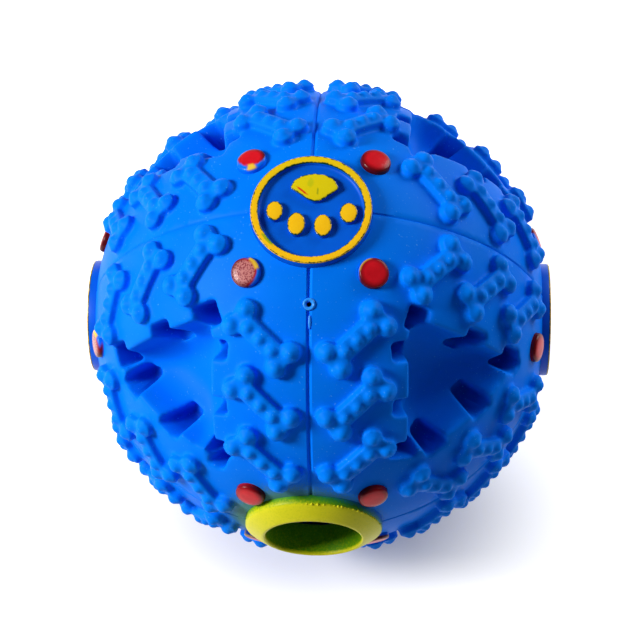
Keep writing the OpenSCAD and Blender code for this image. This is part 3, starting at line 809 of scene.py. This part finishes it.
# Of each dab: its middle, its radius, how far down it runs, how dull it is, and the bearing and half
# width of its sliver, in degrees.
DABS = (
    ((0, 0), 3.4, 1.6, 0.0, 0, 0),
    ((0.15, 0.9), 2.5, 0.6, 0.0, -80, 26),
    ((-0.5, -0.2), 2.5, 1.0, 1.0, 40, 38),
    ((0.2, -0.2), 2.85, 1.5, 0.0, 140, 42),
)
STUD_MARKS = ("dull", "sliver", "bare", "rim")
DOME_EDGE_SHADE_REACH = (1.7, 2.65)      # from a stud's middle: where the painted shade at the dome's edge starts, and where it is darkest
DOME_EDGE_SHADE = 0.9
SLIVER_DROP = 0.45      # how far down a stud its sliver reaches
DAB_ORDERS = {"top": (0, 1, 2, 3), "bottom": (3, 0, 1, 0), "hole": (0, 0, 3, 1), "back": (1, 3, 0, 2),
              "left": (0, 3, 0, 2), "right": (0, 1, 0, 3)}
first_stud = turned("stud", [
    (STUD_R, STUD_SEAT_D), (STUD_R, 44.8), (STUD_R, 45.2), (STUD_R, 45.5), (2.74, 45.72),
    (2.6, 45.88), (2.4, 45.99), (2.1, 46.07), (1.75, 46.13), (1.3, 46.17), (0.8, 46.19),
    (0.3, STUD_TOP_D)], 64)
lacquer = material("glossy_red_lacquer", Roughness=0.28, IOR=1.5, Specular_IOR_Level=0.15,
                   Coat_Weight=0.06, Coat_Roughness=0.08)
place = node(lacquer, "TexCoord").outputs["Object"]
cloud = node(lacquer, "TexNoise", {"Vector": place, "Scale": 1 / (2.2 * MM), "Detail": 3.0})
red = node(lacquer, "Mix", {"Factor": cloud.outputs["Fac"], "A": colour("#BC0A16"),
                            "B": colour("#F01A28")}, data_type="RGBA")
dull = node(lacquer, "Attribute", attribute_name="dull")
freckles = node(lacquer, "TexNoise", {"Vector": place, "Scale": 1 / (0.3 * MM), "Detail": 1.0})
speckled = node(lacquer, "MapRange", {"Value": freckles.outputs["Fac"], "From Min": 0.38,
                                      "From Max": 0.52, "To Min": 0.0, "To Max": 1.0})
pink = node(lacquer, "Mix", {"Factor": speckled.outputs[0], "A": colour("#8C343C"),
                             "B": colour("#C87C76")}, data_type="RGBA")
dried = node(lacquer, "Mix", {"Factor": dull.outputs["Fac"], "A": red.outputs["Result"],
                              "B": pink.outputs["Result"]}, data_type="RGBA")
# Painted shade: each stud's dome is drawn darker towards its edge.
rim = node(lacquer, "Attribute", attribute_name="rim")
dome_edge_shaded = node(lacquer, "Mix", {"Factor": rim.outputs["Fac"], "A": dried.outputs["Result"],
                               "B": colour("#38040A")}, data_type="RGBA")
sliver = node(lacquer, "Attribute", attribute_name="sliver")
undercoat = node(lacquer, "Mix", {"Factor": sliver.outputs["Fac"], "A": dome_edge_shaded.outputs["Result"],
                                  "B": colour("#F2C43A")}, data_type="RGBA")
bare = node(lacquer, "Attribute", attribute_name="bare")
worn_red = node(lacquer, "Mix", {"Factor": bare.outputs["Fac"], "A": undercoat.outputs["Result"],
                                 "B": colour("#0074F4")}, data_type="RGBA")
link(lacquer, worn_red.outputs["Result"], "Base Color")
rise = node(lacquer, "Bump", {"Height": cloud.outputs["Fac"], "Strength": 0.3, "Distance": 0.15 * MM})
link(lacquer, rise.outputs["Normal"], "Normal")

for pole, order in DAB_ORDERS.items():
    studs = copies(first_stud, stud_places)
    for corner, stud in enumerate(studs):
        (x, y), dab_r, run, dullness, side, half_width = DABS[order[corner]]
        middle = stud_places[corner] @ Vector((0, 0, STUD_TOP_D))
        for mark in STUD_MARKS:
            stud.data.attributes.new(mark, "FLOAT", "POINT")
        marks = [stud.data.attributes[mark].data for mark in STUD_MARKS]
        for vertex, dull_mark, sliver_mark, bare_mark, rim_mark in zip(stud.data.vertices, *marks):
            off = (vertex.co - middle).xy
            drop = STUD_TOP_D - vertex.co.length
            beyond = (off - Vector((x, y))).length - dab_r
            bearing = math.degrees(math.atan2(off.y, off.x)) - side
            bearing = abs((bearing + 180) % 360 - 180)
            on_side = part_way(half_width - bearing, 0, 10) * part_way(SLIVER_DROP - drop, 0, 0.1)
            dull_mark.value = dullness * part_way(-beyond, 0, 0.3)
            # The painted shade towards the edge of the dome.
            rim_mark.value = DOME_EDGE_SHADE * part_way(off.length, *DOME_EDGE_SHADE_REACH)
            sliver_mark.value = part_way(beyond, -0.1, 0.05) * on_side
            uncovered = max(part_way(beyond, 0.1, 0.3), part_way(drop, run, run + 0.2))
            bare_mark.value = uncovered * (1 - sliver_mark.value)
    made = joined("studs", studs)
    moved(made, HOME @ POLES[pole])
    dressed(made, "red_studs_" + pole, lacquer, "studs_" + pole, angle=60)
bpy.data.objects.remove(first_stud)

# The sound unit: a moulded tube and caps with a sliding carrier, which a turned steel weight pulls
# through a rubber ring, so that air sounds the brass reed. It lies inside the ball, out of sight.
# Its plastic is ABS from the mould: off white, faintly cloudy and half matt.
abs_plastic = material("moulded_white_abs", Roughness=0.5, IOR=1.54)
place = node(abs_plastic, "TexCoord").outputs["Object"]
cloud = node(abs_plastic, "TexNoise", {"Vector": place, "Scale": 1 / (6 * MM), "Detail": 2.0})
white = node(abs_plastic, "Mix", {"Factor": cloud.outputs["Fac"], "A": colour("#ECECE6"),
                                  "B": colour("#F7F7F3")}, data_type="RGBA")
link(abs_plastic, white.outputs["Result"], "Base Color")
grain = node(abs_plastic, "TexNoise", {"Vector": place, "Scale": 1 / (0.4 * MM), "Detail": 2.0})
rise = node(abs_plastic, "Bump", {"Height": grain.outputs["Fac"], "Strength": 0.2,
                                  "Distance": 0.02 * MM})
link(abs_plastic, rise.outputs["Normal"], "Normal")

# Turned steel: mid grey, with the lathe's fine rings round its axis, drawn coarse so that they show.
steel = material("turned_steel", Metallic=1.0, Roughness=0.3)
place = node(steel, "TexCoord").outputs["Object"]
turning = node(steel, "TexWave", {"Vector": place, "Scale": 1 / (1.2 * MM), "Distortion": 0.4,
                                  "Detail": 2.0}, wave_type="RINGS", rings_direction="X")
grey = node(steel, "Mix", {"Factor": turning.outputs["Fac"], "A": colour("#A9ACB0"),
                           "B": colour("#C9CBCE")}, data_type="RGBA")
link(steel, grey.outputs["Result"], "Base Color")
rise = node(steel, "Bump", {"Height": turning.outputs["Fac"], "Strength": 0.3, "Distance": 0.01 * MM})
link(steel, rise.outputs["Normal"], "Normal")

# Rolled brass strip: yellow and bright, with streaks along the way it was rolled.
brass = material("rolled_brass_strip", Metallic=1.0, Roughness=0.28)
place = node(brass, "TexCoord").outputs["Object"]
stretched = node(brass, "Mapping", {"Vector": place, "Scale": (0.1, 1.0, 1.0)})
streaks = node(brass, "TexNoise", {"Vector": stretched.outputs["Vector"], "Scale": 1 / (0.3 * MM),
                                   "Detail": 3.0})
gold = node(brass, "Mix", {"Factor": streaks.outputs["Fac"], "A": colour("#C49A45"),
                           "B": colour("#E2BE6E")}, data_type="RGBA")
link(brass, gold.outputs["Result"], "Base Color")
rise = node(brass, "Bump", {"Height": streaks.outputs["Fac"], "Strength": 0.2, "Distance": 0.01 * MM})
link(brass, rise.outputs["Normal"], "Normal")

# Moulded rubber: dark grey and matt, with a faint bloom.
rubber = material("moulded_grey_rubber", Roughness=0.75, IOR=1.52)
place = node(rubber, "TexCoord").outputs["Object"]
bloom = node(rubber, "TexNoise", {"Vector": place, "Scale": 1 / (1.5 * MM), "Detail": 4.0})
soot = node(rubber, "Mix", {"Factor": bloom.outputs["Fac"], "A": colour("#2C2C2F"),
                            "B": colour("#434347")}, data_type="RGBA")
link(rubber, soot.outputs["Result"], "Base Color")
rise = node(rubber, "Bump", {"Height": bloom.outputs["Fac"], "Strength": 0.2, "Distance": 0.05 * MM})
link(rubber, rise.outputs["Normal"], "Normal")

for node_name, finish in (
    ("sound_tube", abs_plastic), ("tube_cap_left", abs_plastic), ("tube_cap_right", abs_plastic),
    ("reed_carrier", abs_plastic), ("slide_weight", steel), ("reed_tongue", brass),
    ("seal_ring", rubber),
):
    for material_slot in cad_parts[node_name].material_slots:
        material_slot.material = finish

# The studio: a white paper sweep, soft light from the left, and a weaker one from behind on the
# right. The paper and the backdrop are lit up only as the camera and reflections see them, and the
# paper less so round the ball, which keeps the ball's shadow.
FLOOR_SIZE = 4
SHADOW_REACH = (0.018, 0.058)      # metres from the shadow's middle, where the paper brightens
SHADOW_LIFT = (0.1, 0.85)      # how much it is lit up at each end of that
WHITE = (1, 1, 1, 1)
DAYLIGHT = (0.66, 0.82, 1, 1)
DAYLIGHT_STRENGTH = 0.14
bpy.ops.object.select_all(action="DESELECT")
bpy.ops.mesh.primitive_plane_add(size=FLOOR_SIZE)
floor = bpy.context.object
floor.name = "floor"
paper = material("white_paper_sweep", Roughness=0.9, Base_Color=(0.84, 0.81, 0.77, 1))
rays = node(paper, "LightPath")
seen = node(paper, "Math", {0: rays.outputs["Is Camera Ray"], 1: rays.outputs["Is Glossy Ray"]},
            operation="MAXIMUM")
through = node(paper, "Math", {0: seen.outputs[0], 1: rays.outputs["Is Transmission Ray"]},
               operation="MAXIMUM")
shadow_place = node(paper, "Mapping", {"Vector": node(paper, "TexCoord").outputs["Object"],
                                       "Location": (0, 0.04, 0), "Scale": (1, 1.7, 1)})
away = node(paper, "VectorMath", {0: shadow_place.outputs["Vector"]}, operation="LENGTH")
far_off = node(paper, "MapRange", {
    "Value": away.outputs["Value"], "From Min": SHADOW_REACH[0], "From Max": SHADOW_REACH[1],
    "To Min": SHADOW_LIFT[0], "To Max": SHADOW_LIFT[1]}, interpolation_type="SMOOTHSTEP")
lift = node(paper, "Math", {0: through.outputs[0], 1: far_off.outputs[0]}, operation="MULTIPLY")
link(paper, lift.outputs[0], "Emission Strength")
paper.node_tree.nodes["Principled BSDF"].inputs["Emission Color"].default_value = WHITE
floor.data.materials.append(paper)


def lamp(name, power, size, spot):
    """A square soft box that faces the ball's middle."""
    light = bpy.data.lights.new(name, "AREA")
    light.energy = power
    light.size = size
    holder = bpy.data.objects.new(name, light)
    bpy.context.scene.collection.objects.link(holder)
    holder.location = spot
    aim = Vector((0, 0, CENTRE)) - Vector(spot)
    holder.rotation_euler = aim.to_track_quat("-Z", "Y").to_euler()


lamp("key", power=5.1, size=0.2, spot=(-0.53, -0.07, 0.47))
lamp("fill", power=3.3, size=0.4, spot=(0.52, 0.45, 0.27))
world = bpy.data.worlds.new("studio")
world.use_nodes = True
sky = world.node_tree.nodes["Background"]
sky.inputs["Color"].default_value = DAYLIGHT
sky.inputs["Strength"].default_value = DAYLIGHT_STRENGTH
backdrop = node(world, "Background", {"Color": WHITE, "Strength": 1.0})
backdrop_rays = node(world, "LightPath").outputs["Is Camera Ray"]
shown = node(world, "MixShader", {0: backdrop_rays, 1: sky.outputs[0], 2: backdrop.outputs[0]})
world.node_tree.links.new(shown.outputs[0], world.node_tree.nodes["World Output"].inputs["Surface"])
bpy.context.scene.world = world
bpy.context.scene.view_settings.view_transform = "Standard"

# The camera, turned and placed as it was for the photograph. The picture is 640 pixels square.
PICTURE = 640
FOCAL_PIXELS = 2091.2
DISTANCE = 9.3026 * SKIN * MM
SHIFT_X = 0.002 * SKIN * MM
SHIFT_Y = 0.0109 * SKIN * MM
VIEW_ANGLES = (-0.4476, -0.0464, -0.0094)      # radians about X, Y and Z
view_turn = turn(*[math.degrees(angle) for angle in VIEW_ANGLES])
lens = bpy.data.cameras.new("camera")
lens.sensor_width = 36
lens.lens = lens.sensor_width * FOCAL_PIXELS / PICTURE
camera = bpy.data.objects.new("camera", lens)
bpy.context.scene.collection.objects.link(camera)
from_ball = Matrix.Translation((-SHIFT_X, -SHIFT_Y, DISTANCE))
camera.matrix_world = Matrix.Translation((0, 0, CENTRE)) @ view_turn.inverted() @ from_ball
bpy.context.scene.camera = camera
